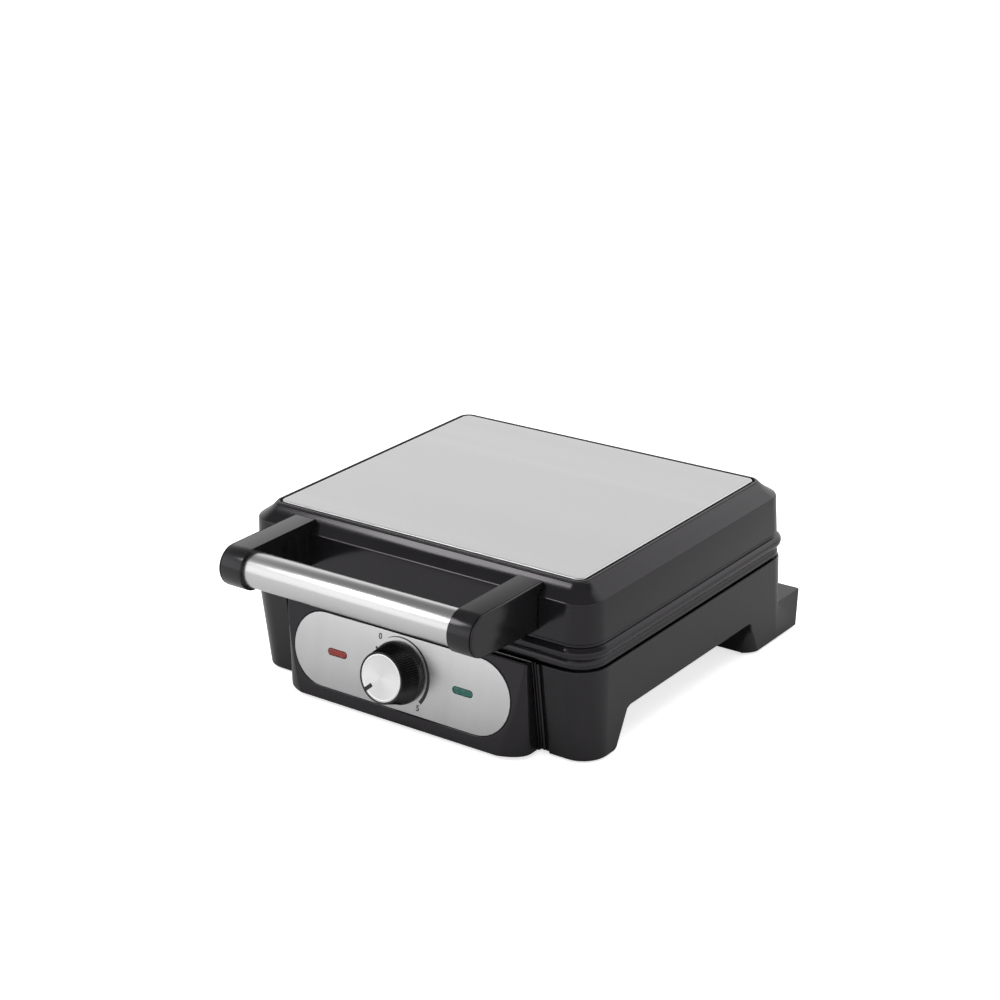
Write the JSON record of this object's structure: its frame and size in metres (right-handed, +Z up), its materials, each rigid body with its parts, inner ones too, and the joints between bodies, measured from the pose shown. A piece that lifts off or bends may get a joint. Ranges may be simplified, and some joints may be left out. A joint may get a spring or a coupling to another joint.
{
  "type": "waffle maker",
  "caption": "Closed hinged waffle maker in dark plastic with a stainless top, a tube handle, and a thermostat knob between two lamps on a rounded steel panel.",
  "frame": {"origin": "on the table, under the middle of the whole outline", "axes": "+X to the right seen from the front, the handle and control panel face -Y, +Z up"},
  "size_m": [0.2868, 0.3372, 0.1215],
  "materials": {
    "charcoal_shell": "satin gloss moulded charcoal plastic",
    "dark_plastic": "fine matt moulded plastic",
    "top_steel": "fine satin stainless sheet",
    "panel_steel": "brushed stainless sheet",
    "tube_steel": "satin stainless tube",
    "nonstick": "cast aluminium with a dark non-stick coating",
    "element": "oxidised steel sheath of a tubular heating element",
    "reflector_sheet": "bright aluminium sheet",
    "zinc": "zinc-plated steel",
    "nut_brass": "plain brass",
    "copper": "drawn copper tube",
    "ceramic": "pale heat-proof moulding and ceramic",
    "lead_sleeve": "braided glass-fibre sleeve",
    "red_lens": "clear red moulded lens",
    "green_lens": "clear green moulded lens",
    "lamp_glass": "small neon lamps",
    "soft_rubber": "matt black rubber",
    "knob_black": "finely ribbed black moulding",
    "spun_metal": "spun bright aluminium"
  },
  "bodies": {
    "base": {"base_housing": "charcoal_shell", "bottom_cover": "dark_plastic", "control_housing": "charcoal_shell", "control_panel": "panel_steel", "power_lens": "red_lens", "ready_lens": "green_lens", "indicator_lamps": "lamp_glass", "lamp_holders": "ceramic", "lower_waffle_plate": "nonstick", "lower_heater": "element", "lower_reflector": "reflector_sheet", "lower_plate_screws": "zinc", "thermostat": "ceramic", "thermostat_bracket": "zinc", "thermostat_nut": "nut_brass", "sensor_capillary": "copper", "thermal_fuse": "ceramic", "terminal_block": "ceramic", "base_leads": "lead_sleeve", "cord_gland": "soft_rubber", "rubber_feet": "soft_rubber", "bottom_screws": "zinc", "hinge_pins": "zinc"},
    "lid": {"lid_housing": "charcoal_shell", "lid_top_plate": "top_steel", "lid_frame": "charcoal_shell", "upper_waffle_plate": "nonstick", "upper_heater": "element", "upper_reflector": "reflector_sheet", "upper_plate_screws": "zinc", "lid_leads": "lead_sleeve", "handle_arm_left": "dark_plastic", "handle_arm_right": "dark_plastic", "arm_cover_left": "dark_plastic", "arm_cover_right": "dark_plastic", "handle_tube": "tube_steel", "handle_rod": "zinc", "arm_screws": "zinc", "hinge_arm_left": "dark_plastic", "hinge_arm_right": "dark_plastic", "hinge_screws": "zinc"},
    "knob": {"knob_body": "knob_black", "knob_cap": "spun_metal", "thermostat_shaft": "zinc"}
  },
  "joints": [
    {"name": "lid_hinge", "type": "hinge", "parent": "base", "child": "lid", "pos_m": [0, 0.155, 0.0671], "axis": [-1, 0, 0], "range_deg": [0, 100]},
    {"name": "knob_turn", "type": "hinge", "parent": "base", "child": "knob", "pos_m": [0, -0.11318, 0.0375], "axis": [0, 0.9863, -0.165], "range_deg": [0, 266]}
  ]
}
